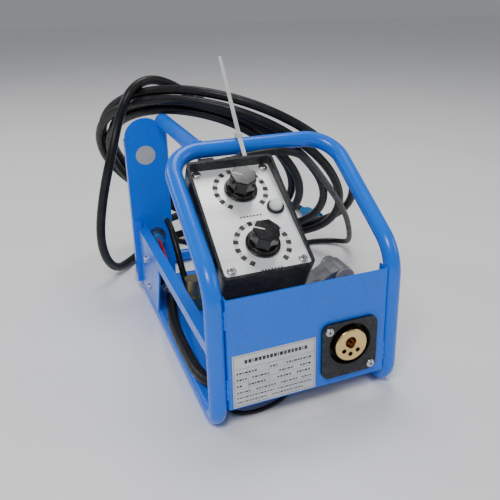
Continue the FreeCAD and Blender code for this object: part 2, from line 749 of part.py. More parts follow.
node("feed_block", feed_block())
node("motor", motor_case())
node("gearbox", gearbox_case())
node("shaft_bearing", ring_bearing())
node("drive_shaft", cylinder((20.5, D.roll_y, DRIVE_Z), (1, 0, 0), "shaft_radius", 37.8))
node("drive_roll", place_roll(grooved_roll(D.drive_roll_radius, D.shaft_radius), DRIVE_Z))
node("drive_roll_nut", roll_nut())
node("pressure_roll", place_roll(grooved_roll(D.idler_radius, 3.0 + D.running_gap), IDLER_Z))
node("pressure_roll_axle", cylinder((35.5, D.roll_y, IDLER_Z), (1, 0, 0), 3.0, 20.2))
node("pressure_arm", pressure_arm())
node("arm_hinge_pin", hinge_pin())
node("adjusting_knob", adjuster_knob())
node("adjusting_spring", adjuster_spring())
group("wire_guides", [wire_guide(start) for start in (36.5, 87.0)])


# ---------------------------------------------------------------- the spool hub

HUB_X = -24.0


def spool_bracket():
    """Upright bracket on the base with the stub axle that the hub turns on."""
    upright = box((HUB_X - 3, 235, 21), 3, 40, 104)
    crown = cylinder((HUB_X - 3, D.hub_y, D.hub_z), (1, 0, 0), 20, 3)
    foot = box((HUB_X - 24, 235, 21), 24, 40, 3)
    axle = cylinder((HUB_X - 3, D.hub_y, D.hub_z), (1, 0, 0), 6.0, 72)
    return fuse(upright, crown, foot, axle)


def spool_hub():
    """Hub that a wire spool slides on, with its flange and brake chamber."""
    bore, length = 6.0 + D.running_gap, D.hub_length
    return turned((HUB_X, D.hub_y, D.hub_z), (1, 0, 0),
                  [(bore, 0.4), (34, 0.4), (34, 4.4), (D.hub_radius, 4.4),
                   (D.hub_radius, length), (20, length), (20, 50), (bore, 50)])


node("spool_bracket", spool_bracket())
node("spool_hub", spool_hub())
node("hub_nut", cut(cylinder((HUB_X + 50.4, D.hub_y, D.hub_z), (1, 0, 0), 12.5, 12),
                    cylinder((HUB_X + 50, D.hub_y, D.hub_z), (1, 0, 0), 6.0, 13)))


# ---------------------------------------------------------------- rear entries and inner leads

def cable_gland():
    """Gland through the rear plate with its lock nut and a tapered boot behind."""
    parts = [cylinder((-88, 341, 52), (0, 1, 0), 9.9, 12.5),
             cylinder((-88, 352.6, 52), (0, 1, 0), 14.0, 8),
             cylinder((-88, 340, 52), (0, 1, 0), 13.0, 9.9),
             cone((-88, 360.5, 52), (0, 1, 0), 11.0, 8.0, 17)]
    return cut(fuse(*parts), cylinder((-88, 339, 52), (0, 1, 0), "main_lead / 2", 40))


def cable_lugs():
    """Ring lug of the incoming cable, and the lug at the socket end."""
    rear = fuse(box((-96, 262, 38), 12, 24, 2.2), cylinder((-90, 264, 38.5), (0, -0.95, -0.2), 6.4, 10))
    front = fuse(box((14.1, 29.5, 53), 14, 7, 8), box((28, 28.2, 54), 22, 4.8, 6.1))
    return [rear, front]


def motor_wire(shift):
    points = [(-78.1, 75 + shift, 62), (-87, 84 + shift, 61), (-88, 110, 52 + shift),
              (-86, 150, 36 + shift), (-84, 200, 30 + shift), (-83, 262, 48 + shift),
              (-83, 312, 76 + shift), (-84, 334.9, 85 + shift)]
    return pipe(points, [0, 6, 16, 40, 40, 40, 24, 0], 1.6)


def grommet(x, y):
    """Rubber grommet seated in the base plate."""
    rims = [cylinder((x, y, z), (0, 0, 1), 7.4, 2.4) for z in (16.6, 21)]
    return fuse(cylinder((x, y, 17), (0, 0, 1), 5.0, 5), *rims)


node("cable_gland", cable_gland())
node("control_socket", fuse(cylinder((-84, 346, 91), (0, 1, 0), 12.0, 4),
                            cylinder((-84, 349, 91), (0, 1, 0), 8.0, 14)))
node("socket_cap", cylinder((-84, 335.1, 87), (0, 1, 0), 7.0, 10.8))
node("gas_nipple", fuse(cylinder((-68, 344, 112), (0, 1, 0), 4.0, 24),
                        cylinder((-68, 352.6, 112), (0, 1, 0), 7.0, 6)))
node("gas_valve", fuse(box((-77, 226, 21), 28, 28, 20),
                       cylinder((-61, 240, 41), (0, 0, 1), 12, 24),
                       cylinder((-61, 254, 33), (0, 1, 0), 4, 8)))
node("gas_hose", lead("gas_hose", [(-68, 343.9, 112), (-68, 322, 108), (-67, 298, 84),
                                   (-65, 286, 60), (-63, 279, 45), (-61, 262.1, 33)], "gas_hose"))
node("power_cable", lead("power_cable", [
    (-90, 254.4, 36.5), (-95, 232, 32), (-101, 200, 28.6), (-103.5, 165, 28.1),
    (-104, 130, 28.1), (-103.5, 86, 28.1), (-98.5, 59, 28.1), (-82, 38, 28.3), (-57, 28, 30),
    (-33, 27, 37), (-11, 31, 48), (14, 33, 57)], "power_cable"))
node("inner_main_cable", lead("inner_main_cable", [(-88, 339.9, 52), (-88, 322, 50),
                                                   (-89, 304, 43.5), (-90, 288, 39)], "main_lead"))
group("cable_lugs", cable_lugs())
group("motor_wires", [motor_wire(shift) for shift in (0.0, 4.2)])
group("base_grommets", [grommet(x, y) for x, y in ((-70, 88), (4, 108))])


# ---------------------------------------------------------------- the outer leads

COIL = Vector(42.2, 403.5, 156.6)


def coil_frame():
    """The coil leans on the spine's elbow: a placement with Z along the coil's axis."""
    heading, tilt = math.radians(D.coil_heading), math.radians(D.coil_tilt)
    axis = Vector(math.sin(tilt) * math.cos(heading), math.sin(tilt) * math.sin(heading),
                  math.cos(tilt))
    level = Vector(axis.y, -axis.x, 0).normalize()
    return Placement(COIL, Rotation(level, axis.cross(level), axis, "ZXY"))


def coil():
    """Outer shape of the loose coil: a thick oval ring, wider where the turns fan out."""
    oval = doc.addObject("Part::Ellipse", "Oval")
    bind(oval, "MajorRadius", "coil_long + main_lead / 2")
    bind(oval, "MinorRadius", "coil_short + main_lead / 2")
    oval.Placement = Placement(Vector(0, 0, -D.coil_thickness / 2), Rotation(Z, D.coil_skew))
    disc = doc.addObject("Part::Extrusion", "Disc")
    disc.Base = oval
    disc.DirMode = "Custom"
    disc.Dir = Z
    bind(disc, "LengthFwd", "coil_thickness")
    disc.Solid = True
    return cut(disc, cylinder((-D.coil_shift, 1, -D.coil_thickness), (0, 0, 1),
                              "coil_inner - main_lead / 2", "coil_thickness * 2"))


def belt(radius_a, centre_b, radius_b, width, growth):
    """A band's outline round two parallel bars, as a solid along X."""
    a, b = radius_a + growth, radius_b + growth
    reach = Vector(0, *centre_b)
    along = Vector(reach).normalize()
    across = X.cross(along)
    spread = math.acos((a - b) / reach.Length)
    corners = []
    for start, radius, side in ((Vector(), a, 1), (reach, b, 1), (reach, b, -1), (Vector(), a, -1)):
        corners.append(start + along * (radius * math.cos(spread))
                       + across * (side * radius * math.sin(spread)))
    web = new_body()
    pad(web, sketch(web, "YZ_Plane", -width / 2, outline([(c.y, c.z) for c in corners])), width)
    return fuse(web, cylinder((-width / 2, 0, 0), (1, 0, 0), a, width),
                cylinder((-width / 2, *centre_b), (1, 0, 0), b, width))


def cable_tie():
    """Nylon tie round the top bar and the remote lead, its tail left long."""
    bar, cord, lead_at = D.tube_od / 2, D.remote_lead / 2, (-14.9, -9.2)
    band = cut(belt(bar, lead_at, cord, 4.8, 1.9), belt(bar, lead_at, cord, 6.0, 0.4))
    head = box((-3.6, -5, bar + 1.2), 7.2, 7.5, 5.0)
    tail = new_body()
    top = bar + 6
    strip = outline([(-2.4, top), (2.4, top), (-17.4, top + 87), (-20.4, top + 86)],
                    [0, 0, 1.2, 1.2])
    pad(tail, sketch(tail, "XZ_Plane", 2.0, strip), 1.4, True)
    return fuse(band, head, tail)


def lead_plug():
    """Aviation plug: tapered boot, knurled shell and the insert's face."""
    face, rear = Vector(252, 491, 14), Vector(246.6, 551, 12.2)
    axis = (face - rear).normalize()
    boot = cone(rear, axis, 7.6, 9.0, 16)
    grip = cylinder(rear + axis * 15.5, axis, 12.0, 26)
    ring = cylinder(rear + axis * 41.5, axis, 12.6, 18)
    hollow = cylinder(face - axis * 7, axis, 10.4, 8)
    insert = cylinder(face - axis * 8, axis, 8.2, 5.5)
    return fuse(cut(fuse(boot, grip, ring), hollow), insert)


coil_place = CARRIER * coil_frame()
node("lead_coil", coil(), coil_place)
node("main_lead_exit", lead("main_lead_exit", [
    (-88, 377.6, 52), (-88, 410, 51.5), (-84, 444, 50), (-72, 478, 48.5), (-48, 506, 48),
    (-16, 522, 50), (14, 525, 51)], "main_lead"))
node("main_lead_loop", lead("main_lead_loop", [
    (62, 325, 238), (42, 338, 250), (22, 369, 258), (1, 383, 278), (-19, 399, 289),
    (-42, 401, 303), (-66, 394, 310), (-89, 382, 305), (-107, 372, 288), (-121, 372, 255),
    (-135, 356, 218), (-147, 359, 178), (-156, 366, 136), (-161, 376, 95), (-158, 391, 58),
    (-148, 408, 29), (-133, 429, 11.7), (-112, 457, 7.2), (-87, 488, 7.2), (-55, 516, 7.4),
    (-17, 534, 9), (24, 534, 14), (60, 520, 24)], "main_lead"))
node("main_lead_tail", lead("main_lead_tail", [
    (30, 536, 42), (56, 543, 26), (84, 554, 13), (112, 570, 7.6), (137, 590, 7.2),
    (156, 612, 7.2), (175, 630, 7.2), (199, 637.5, 7.2), (223, 631.6, 7.2), (240.6, 614, 7.4),
    (247, 592, 8.6), (248, 572, 10.4), (246.6, 551.2, 12.2)], "main_lead"))
node("lead_plug", lead_plug())
node("remote_lead_tube", lead("remote_lead_tube", [
    (-50.8, 148.3, 245), (-26, 147.4, 251.5), (4, 147, 254.5), (34, 146.8, 254.5),
    (60, 152, 245), (86, 172, 221), (114, 198, 192), (144, 226, 160), (172, 254, 128),
    (198, 284, 96), (220, 314, 62), (238, 344, 33), (250, 374, 12), (241, 401, 5.6),
    (212, 414, 5.2), (176, 415, 5.2), (128, 435, 5.2), (90, 459, 5.2), (44, 471, 6), (0, 468, 14),
    (-38, 456, 34), (-66, 430, 60), (-80, 398, 82), (-84, 363.2, 91)], "remote_lead"))
node("torch_lead_tube", lead("torch_lead_tube", [
    (-70, 88, 15.9), (-72, 76, 9.5), (-77, 60, 3.6), (-83, 42, 2.6), (-79, 26, 2.6),
    (-63, 18.5, 2.6), (-42, 19.5, 2.6), (-20, 27, 2.6), (-4, 42, 2.6), (3, 62, 2.8),
    (5, 82, 5), (4, 98, 12), (4, 108, 15.9)], "torch_lead"))
node("cable_tie", cable_tie(), CARRIER * Placement(Vector(-17, D.top_y, D.top_z), Rotation()))
group("pan_screws", screws)


# ---------------------------------------------------------------- checks and export

doc.recompute()
faults = [o.Label for o in doc.Objects if "Invalid" in o.State or "Error" in o.State]
assert not faults, f"features that failed: {faults}"
for label, solid, edges, diameter in lead_checks:
    length = sum(edge.toShape().Length for edge in edges)
    expected = math.pi * diameter ** 2 / 4 * length
    print(label, "length", round(length), "volume ratio", round(solid.Shape.Volume / expected, 4))
os.makedirs("parts", exist_ok=True)
for label, obj in nodes.items():
    assert not obj.Shape.isNull() and obj.Shape.isValid(), f"{label} has no valid shape"
    obj.Shape.exportStep(f"parts/{label}.step")
print(len(nodes), "nodes written")
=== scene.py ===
import math

import bmesh
import bpy
from mathutils import Matrix, Vector


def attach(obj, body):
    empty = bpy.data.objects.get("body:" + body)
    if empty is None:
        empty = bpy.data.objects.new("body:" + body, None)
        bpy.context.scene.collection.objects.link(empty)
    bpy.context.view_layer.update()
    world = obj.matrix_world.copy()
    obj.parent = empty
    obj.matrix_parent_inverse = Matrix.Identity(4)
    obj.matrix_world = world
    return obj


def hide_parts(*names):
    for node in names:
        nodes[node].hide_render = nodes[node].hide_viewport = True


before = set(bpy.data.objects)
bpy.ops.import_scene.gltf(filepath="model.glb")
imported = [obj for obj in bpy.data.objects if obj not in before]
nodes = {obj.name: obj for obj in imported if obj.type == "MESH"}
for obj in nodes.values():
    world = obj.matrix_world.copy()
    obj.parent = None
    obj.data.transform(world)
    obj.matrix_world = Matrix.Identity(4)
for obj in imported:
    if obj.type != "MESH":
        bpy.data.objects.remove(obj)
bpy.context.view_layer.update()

# Design frame of the CAD source, in millimetres: X right, Y to the rear from the panel, Z up.
ORIGIN_X, ORIGIN_Y = -3.05, 222.0
LEG_Y, KNEE_Z, TOP_Y, TOP_Z = 7.6, 168.0, 162.0, 261.7
SLOPE = math.atan2(TOP_Z - KNEE_Z, TOP_Y - LEG_Y)
MM = 0.001


def at(x, y, z):
    """A point of the design frame, in metres in the row frame."""
    return Vector(((x - ORIGIN_X) * MM, (y - ORIGIN_Y) * MM, z * MM))


BOX = Matrix.Translation(at(0, LEG_Y, KNEE_Z)) @ Matrix.Rotation(SLOPE, 4, "X")


def on_box(x, u, w):
    """A point of the control box's tilted frame, in metres in the row frame."""
    return BOX @ Vector((x * MM, u * MM, w * MM))


# ------------------------------------------------------------------ camera

camera = bpy.data.objects.new("camera", bpy.data.cameras.new("camera"))
bpy.context.scene.collection.objects.link(camera)
PICTURE_SIZE, FOCAL_LENGTH = 500, 623.3  # both in the picture's own units
SENSOR_WIDTH = 36.0
RIGHT = Vector((0.91511, -0.40321, -0.00165))
DOWN = Vector((-0.14962, -0.33577, -0.92998))
FORWARD = Vector((0.37442, 0.85128, -0.3676))
axes = Matrix((RIGHT, -DOWN, -FORWARD)).transposed().to_4x4()
camera.matrix_world = Matrix.Translation(at(-246.5, -507.5, 441.8)) @ axes
camera.data.sensor_width = SENSOR_WIDTH
camera.data.lens = SENSOR_WIDTH * FOCAL_LENGTH / PICTURE_SIZE
camera.data.shift_x, camera.data.shift_y = -0.08, -0.05
camera.data.clip_start = 0.01
bpy.context.scene.camera = camera


# ------------------------------------------------------------------ helpers

def add(name, data, body="frame"):
    obj = bpy.data.objects.new(name, data)
    bpy.context.scene.collection.objects.link(obj)
    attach(obj, body)
    return obj


def mesh_of(name, bm, smooth=True):
    mesh = bpy.data.meshes.new(name)
    bmesh.ops.recalc_face_normals(bm, faces=bm.faces)
    bm.to_mesh(mesh)
    bm.free()
    for face in mesh.polygons:
        face.use_smooth = smooth
    return mesh


def route(name, points, diameter, body="frame", bevel=6):
    """One open NURBS line with a round section; its points carry the radius in metres."""
    curve = bpy.data.curves.new(name, "CURVE")
    curve.dimensions = "3D"
    spline = curve.splines.new("NURBS")
    spline.points.add(len(points) - 1)
    for slot, point in zip(spline.points, points):
        slot.co = (*point, 1.0)
        slot.radius = diameter / 2
    spline.order_u = 3
    spline.use_endpoint_u = True
    spline.resolution_u = 6
    curve.resolution_u = 6
    curve.bevel_depth = 1.0
    curve.bevel_resolution = bevel
    curve.use_fill_caps = True
    return add(name, curve, body)


def lathe(profile, steps=48, ripple=None):
    """Solid of revolution about Z from (radius, height) in mm, closed where the radius is 0."""
    bm = bmesh.new()
    rings = []
    for k, (radius, height) in enumerate(profile):
        if radius <= 0:
            rings.append([bm.verts.new((0, 0, height * MM))])
            continue
        ring = []
        for i in range(steps):
            angle = 2 * math.pi * i / steps
            size = radius + (ripple(k, angle) if ripple else 0)
            ring.append(bm.verts.new((size * MM * math.cos(angle), size * MM * math.sin(angle),
                                      height * MM)))
        rings.append(ring)
    for low, high in zip(rings, rings[1:]):
        for i in range(steps):
            j = (i + 1) % steps
            quad = [low[i % len(low)], low[j % len(low)], high[j % len(high)], high[i % len(high)]]
            quad = list(dict.fromkeys(quad))
            if len(quad) > 2:
                bm.faces.new(quad)
    return bm


def place(bm, base, axis):
    """Move a mesh made about Z so that it stands at base along axis."""
    turn = Vector((0, 0, 1)).rotation_difference(Vector(axis)).to_matrix().to_4x4()
    bmesh.ops.transform(bm, matrix=Matrix.Translation(base) @ turn, verts=bm.verts)
    return bm


def slab(bm, corners, lift, thick, transform):
    """A thin plate: outline corners in mm, from lift to lift + thick along the local Z."""
    low = [bm.verts.new(transform @ Vector((x * MM, y * MM, lift * MM))) for x, y in corners]
    high = [bm.verts.new(transform @ Vector((x * MM, y * MM, (lift + thick) * MM)))
            for x, y in corners]
    bm.faces.new(low[::-1])
    bm.faces.new(high)
    count = len(corners)
    for i in range(count):
        j = (i + 1) % count
        bm.faces.new((low[i], low[j], high[j], high[i]))


# ------------------------------------------------------------------ the leads

MAIN_LEAD, REMOTE_LEAD, TORCH_LEAD = 13.0, 9.0, 4.5
COIL = Vector((42.2, 403.5, 156.6))
COIL_AXIS = Vector((0.5065, 0.6037, 0.6157))
COIL_LEVEL = Vector((0.766, -0.6428, 0.0))
COIL_FALL = COIL_AXIS.cross(COIL_LEVEL)
COIL_LONG, COIL_SHORT, COIL_INNER, COIL_SHIFT = 206.0, 178.0, 142.0, 36.0
COIL_SKEW = math.radians(18.3)


def coil_point(degrees, width, lay):
    """A point of the coil: width 0 is the outer oval and 1 the inner circle."""
    angle = math.radians(degrees) - COIL_SKEW
    x = (COIL_LONG + (COIL_INNER - COIL_LONG) * width) * math.cos(angle)
    y = (COIL_SHORT + (COIL_INNER - COIL_SHORT) * width) * math.sin(angle)
    u = x * math.cos(COIL_SKEW) - y * math.sin(COIL_SKEW) - COIL_SHIFT * width
    v = x * math.sin(COIL_SKEW) + y * math.cos(COIL_SKEW) + width
    return at(*(COIL + COIL_LEVEL * u + COIL_FALL * v + COIL_AXIS * lay))


def turns(knots, step=24):
    """Turns of the coil through knots of (degrees, width, lay), eased from one to the next."""
    points = []
    for (a, width_a, lay_a), (b, width_b, lay_b) in zip(knots, knots[1:]):
        count = max(1, round((a - b) / step))
        for i in range(count):
            t = i / count
            ease = t * t * (3 - 2 * t)
            points.append(coil_point(a + (b - a) * t, width_a + (width_b - width_a) * ease,
                                     lay_a + (lay_b - lay_a) * ease))
    points.append(coil_point(*knots[-1]))
    return points


INNER_TURNS = [(105, 0.90, -6.5), (0, 0.80, -7), (-90, 0.62, -7), (-180, 0.52, -7),
               (-270, 0.50, -7), (-360, 0.42, -6), (-450, 0.50, 1), (-540, 0.55, 6.5),
               (-620, 0.78, 7), (-700, 0.96, 8), (-752, 1.0, 11.5)]
OUTER_TURNS = [(92, 0.0, -3), (0, 0.18, -6), (-90, 0.10, -6.5), (-180, 0.02, -6.5),
               (-225, 0.08, 2), (-270, 0.15, 9), (-360, -0.03, 8), (-450, 0.0, 8),
               (-540, 0.02, 7.5), (-588, 0.08, 5.5)]
EXIT_POINTS = [(-88, 377.6, 52), (-88, 410, 51.5), (-84, 444, 50), (-72, 478, 48.5),
               (-48, 506, 48), (-16, 522, 50), (14, 525, 51)]
LOOP_POINTS = [(62, 325, 238), (42, 338, 250), (22, 369, 258), (1, 383, 278), (-19, 399, 289),
               (-42, 401, 303), (-66, 394, 310), (-89, 382, 305), (-107, 372, 288),
               (-121, 372, 255), (-135, 356, 218), (-147, 359, 178), (-156, 366, 136),
               (-161, 376, 95), (-158, 391, 58), (-148, 408, 29), (-133, 429, 11.7),
               (-112, 457, 7.2), (-87, 488, 7.2), (-55, 516, 7.4), (-17, 534, 9), (24, 534, 14),
               (60, 520, 24)]
TAIL_POINTS = [(30, 536, 42), (56, 543, 26), (84, 554, 13), (112, 570, 7.6), (137, 590, 7.2),
               (156, 612, 7.2), (175, 630, 7.2), (199, 637.5, 7.2), (223, 631.6, 7.2),
               (240.6, 614, 7.4), (247, 592, 8.6), (248, 572, 10.4), (246.6, 551.2, 12.2)]
main_points = [at(*p) for p in EXIT_POINTS]
main_points += turns(INNER_TURNS)
main_points += [at(*p) for p in LOOP_POINTS]
main_points += turns(OUTER_TURNS)
main_points += [at(*p) for p in TAIL_POINTS]
main_lead = route("main_lead", main_points, MAIN_LEAD * MM)
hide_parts("lead_coil", "main_lead_exit", "main_lead_loop", "main_lead_tail")

REMOTE_POINTS = [(-50.8, 148.3, 245), (-26, 147.4, 251.5), (4, 147, 254.5), (34, 146.8, 254.5),
                 (60, 152, 245), (86, 172, 221), (114, 198, 192), (144, 226, 160),
                 (172, 254, 128), (198, 284, 96), (220, 314, 62), (238, 344, 33), (250, 374, 12),
                 (241, 401, 5.6), (212, 414, 5.2), (176, 415, 5.2), (128, 435, 5.2),
                 (90, 459, 5.2), (44, 471, 6), (0, 468, 14), (-38, 456, 34), (-66, 430, 60),
                 (-80, 398, 82), (-84, 363.2, 91)]
remote_lead = route("remote_lead", [at(*p) for p in REMOTE_POINTS], REMOTE_LEAD * MM)
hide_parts("remote_lead_tube")

TORCH_POINTS = [(-70, 88, 15.9), (-72, 76, 9.5), (-77, 60, 3.6), (-83, 42, 2.6), (-79, 26, 2.6),
                (-63, 18.5, 2.6), (-42, 19.5, 2.6), (-20, 27, 2.6), (-4, 42, 2.6), (3, 62, 2.8),
                (5, 82, 5), (4, 98, 12), (4, 108, 15.9)]
torch_lead = route("torch_lead", [at(*p) for p in TORCH_POINTS], TORCH_LEAD * MM)
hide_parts("torch_lead_tube")


# ------------------------------------------------------------------ materials

class Graph:
    """A material's node tree with short calls for what the materials below share."""

    def __init__(self, name, color, roughness, metallic=0.0, coat=0.0):
        self.mat = bpy.data.materials.new(name)
        self.mat.use_nodes = True
        self.tree = self.mat.node_tree
        self.shader = self.tree.nodes["Principled BSDF"]
        self.shader.inputs["Base Color"].default_value = (*color, 1)
        self.shader.inputs["Roughness"].default_value = roughness
        self.shader.inputs["Metallic"].default_value = metallic
        self.shader.inputs["Coat Weight"].default_value = coat
        self.shader.inputs["Coat Roughness"].default_value = 0.12
        self.color = color
        self.coords = self.tree.nodes.new("ShaderNodeTexCoord").outputs["Object"]

    def link(self, a, b):
        self.tree.links.new(a, b)

    def noise(self, scale, detail=4.0, stretch=None, distortion=0.0):
        node = self.tree.nodes.new("ShaderNodeTexNoise")
        node.inputs["Scale"].default_value = scale
        node.inputs["Detail"].default_value = detail
        node.inputs["Distortion"].default_value = distortion
        source = self.coords
        if stretch:
            mapping = self.tree.nodes.new("ShaderNodeMapping")
            mapping.inputs["Scale"].default_value = stretch
            self.link(source, mapping.inputs["Vector"])
            source = mapping.outputs["Vector"]
        self.link(source, node.inputs["Vector"])
        return node.outputs["Fac"]

    def ramp(self, source, low, high, a=0.0, b=1.0):
        node = self.tree.nodes.new("ShaderNodeMapRange")
        for name, value in (("From Min", low), ("From Max", high), ("To Min", a), ("To Max", b)):
            node.inputs[name].default_value = value
        self.link(source, node.inputs["Value"])
        return node.outputs["Result"]

    def mix(self, factor, color):
        """Blend the base colour so far with another colour where factor is high."""
        node = self.tree.nodes.new("ShaderNodeMix")
        node.data_type = "RGBA"
        self.link(factor, node.inputs["Factor"])
        node.inputs[6].default_value = (*self.color, 1)
        socket = self.shader.inputs["Base Color"]
        if socket.is_linked:
            self.link(socket.links[0].from_socket, node.inputs[6])
        node.inputs[7].default_value = (*color, 1)
        self.link(node.outputs[2], socket)
        return self

    def rough(self, source, low, high):
        self.link(self.ramp(source, 0.3, 0.7, low, high), self.shader.inputs["Roughness"])
        return self

    def bump(self, source, strength, distance):
        node = self.tree.nodes.new("ShaderNodeBump")
        node.inputs["Strength"].default_value = strength
        node.inputs["Distance"].default_value = distance
        self.link(source, node.inputs["Height"])
        socket = self.shader.inputs["Normal"]
        if socket.is_linked:
            self.link(socket.links[0].from_socket, node.inputs["Normal"])
        self.link(node.outputs["Normal"], socket)
        return self

    def edges(self, low=0.53, high=0.6):
        geometry = self.tree.nodes.new("ShaderNodeNewGeometry")
        return self.ramp(geometry.outputs["Pointiness"], low, high)

    def times(self, a, b):
        node = self.tree.nodes.new("ShaderNodeMath")
        node.operation = "MULTIPLY"
        self.link(a, node.inputs[0])
        self.link(b, node.inputs[1])
        return node.outputs[0]


def powder_coat(name, color, shade, wear):
    g = Graph(name, color, 0.24, coat=0.18)
    g.shader.inputs["Specular IOR Level"].default_value = 0.35
    g.mix(g.ramp(g.noise(7, 3), 0.35, 0.75, 0.0, 0.5), shade)
    g.mix(g.times(g.edges(0.56, 0.66), g.ramp(g.noise(160, 6), 0.55, 0.68, 0.0, 0.6)), wear)
    g.mix(g.ramp(g.noise(900, 2), 0.77, 0.82, 0.0, 0.35), wear)
    g.rough(g.noise(30, 5), 0.2, 0.32)
    g.bump(g.noise(900, 2), 0.08, 0.0004)
    return g.mat


def plastic(name, color, roughness, grain, strength=0.15, dust=(0.16, 0.16, 0.16), amount=0.12,
            coat=0.0):
    g = Graph(name, color, roughness, coat=coat)
    g.shader.inputs["Specular IOR Level"].default_value = 0.38
    g.mix(g.ramp(g.noise(22, 6), 0.45, 0.8, 0.0, amount), dust)
    g.mix(g.times(g.edges(), g.ramp(g.noise(240, 4), 0.45, 0.6, 0.0, 0.35)), dust)
    g.rough(g.noise(60, 5), max(0.05, roughness - 0.08), roughness + 0.12)
    g.bump(g.noise(grain, 3), strength, 0.0003)
    return g.mat


def metal(name, color, shade, roughness, stretch=None, grain=900, strength=0.12, metallic=1.0):
    g = Graph(name, color, roughness, metallic=metallic)
    g.mix(g.ramp(g.noise(45, 6), 0.4, 0.75, 0.0, 0.7), shade)
    g.rough(g.noise(90, 5, stretch), max(0.06, roughness - 0.08), roughness + 0.14)
    g.bump(g.noise(grain, 3, stretch), strength, 0.0002)
    return g.mat


def rubber(name, color, ring_scale=0.0):
    g = Graph(name, color, 0.36)
    g.shader.inputs["Specular IOR Level"].default_value = 0.3
    g.mix(g.ramp(g.noise(38, 6), 0.45, 0.78, 0.0, 0.4), (0.035, 0.036, 0.038))
    g.mix(g.ramp(g.noise(260, 5, (1, 1, 0.4)), 0.66, 0.74, 0.0, 0.35), (0.09, 0.09, 0.09))
    g.rough(g.noise(120, 5), 0.28, 0.5)
    g.bump(g.noise(700, 3), 0.1, 0.0003)
    g.bump(g.noise(60, 2), 0.12, 0.001)
    return g.mat


BLUE = powder_coat("blue_powder_coat", (0.0, 0.16, 0.85), (0.0, 0.14, 0.76),
                   (0.05, 0.14, 0.34))
BLACK_PAINT = powder_coat("black_paint", (0.02, 0.02, 0.021), (0.03, 0.03, 0.031),
                          (0.12, 0.12, 0.12))
CASE = plastic("case_plastic", (0.008, 0.009, 0.011), 0.34, 1300, 0.2, dust=(0.07, 0.075, 0.08))
GLOSS = plastic("gloss_plastic", (0.006, 0.006, 0.007), 0.16, 600, 0.05, dust=(0.03, 0.03, 0.03),
                amount=0.04, coat=0.15)
HUB = plastic("hub_plastic", (0.02, 0.02, 0.021), 0.45, 900, 0.2)
GREY = plastic("grey_plastic", (0.22, 0.22, 0.225), 0.3, 800, 0.12, dust=(0.4, 0.4, 0.4))
PALE_GREY = plastic("pale_grey_plastic", (0.42, 0.43, 0.43), 0.3, 800, 0.12,
                    dust=(0.25, 0.25, 0.25))
BLUE_PLASTIC = plastic("plug_blue", (0.012, 0.14, 0.36), 0.3, 800, 0.12, dust=(0.05, 0.2, 0.4))
CAP_BLUE = plastic("cap_blue", (0.02, 0.2, 0.55), 0.3, 800, 0.1, dust=(0.1, 0.3, 0.5))
RED = plastic("red_sleeve", (0.5, 0.012, 0.01), 0.3, 900, 0.1, dust=(0.25, 0.05, 0.04))
WHITE_PRINT = plastic("white_print", (0.72, 0.73, 0.72), 0.5, 900, 0.05, dust=(0.4, 0.4, 0.4))
# Black print for the dials and the nameplate; the same black is the painted shade in the screws'
# cross recesses.
BLACK_PRINT_AND_RECESS_SHADE = plastic("black_print_and_recess_shade", (0.014, 0.014, 0.016), 0.5, 900, 0.05, amount=0.05)
GREY_PRINT = plastic("grey_print", (0.12, 0.12, 0.125), 0.5, 900, 0.05)
STICKER = plastic("seal_sticker", (0.45, 0.46, 0.47), 0.35, 700, 0.08, dust=(0.3, 0.31, 0.33),
                  amount=0.5)
WHITE_CAP = plastic("white_cap", (0.8, 0.81, 0.82), 0.3, 800, 0.06, dust=(0.55, 0.55, 0.55))
NYLON = plastic("nylon", (0.72, 0.73, 0.71), 0.35, 900, 0.08, dust=(0.5, 0.5, 0.48))
BOARD = plastic("circuit_board", (0.01, 0.12, 0.04), 0.35, 500, 0.1, dust=(0.03, 0.2, 0.08))
RUBBER = rubber("cable_rubber", (0.008, 0.008, 0.009))
BRASS = metal("brass", (0.78, 0.56, 0.24), (0.5, 0.33, 0.13), 0.2, (1, 0.15, 1), 700, 0.12)
ZINC = metal("zinc", (0.6, 0.6, 0.61), (0.42, 0.42, 0.43), 0.26)
STEEL = metal("steel", (0.55, 0.55, 0.56), (0.36, 0.36, 0.37), 0.24, (0.2, 1, 1))
COPPER = metal("tinned_copper", (0.6, 0.52, 0.42), (0.42, 0.3, 0.2), 0.35)
CAST = metal("cast_alloy", (0.36, 0.36, 0.365), (0.22, 0.22, 0.225), 0.45, None, 500, 0.4)
FACE = metal("face_sheet", (0.95, 0.96, 0.97), (0.86, 0.87, 0.88), 0.36, (0.08, 1, 1), 1200, 0.06,
             0.45)
PLATE = metal("nameplate_sheet", (0.66, 0.67, 0.69), (0.55, 0.56, 0.58), 0.4, (0.08, 1, 1), 1200,
              0.05, 0.6)
VALVE = metal("valve_brass", (0.32, 0.29, 0.16), (0.2, 0.18, 0.1), 0.38)

LOOKS = {
    BLUE: "hoop_tube skid_tube spine_tube side_rail side_gusset base_plate front_panel rear_plate",
    BLACK_PAINT: "box_bracket spool_bracket motor",
    ZINC: "pan_screws",
    PLATE: "nameplate",
    GLOSS: "knob_lower knob_upper",
    WHITE_CAP: "jog_button",
    CASE: "jog_switch box_housing box_gland socket_flange",
    CAP_BLUE: "socket_cap",
    FACE: "face_plate",
    STEEL: "pot_lower pot_upper shaft_bearing drive_shaft drive_roll drive_roll_nut "
           "pressure_roll pressure_roll_axle adjusting_spring wire_guides control_socket",
    BOARD: "box_circuit_board",
    BRASS: "socket_body socket_nut gas_nipple",
    CAST: "feed_block pressure_arm gearbox",
    GREY: "arm_hinge_pin",
    PALE_GREY: "adjusting_knob",
    HUB: "spool_hub hub_nut cable_gland base_grommets",
    VALVE: "gas_valve",
    RUBBER: "gas_hose power_cable inner_main_cable",
    COPPER: "cable_lugs",
    RED: "motor_wires",
    NYLON: "cable_tie",
}


def paint(obj, material):
    obj.data.materials.clear()
    obj.data.materials.append(material)
    return obj


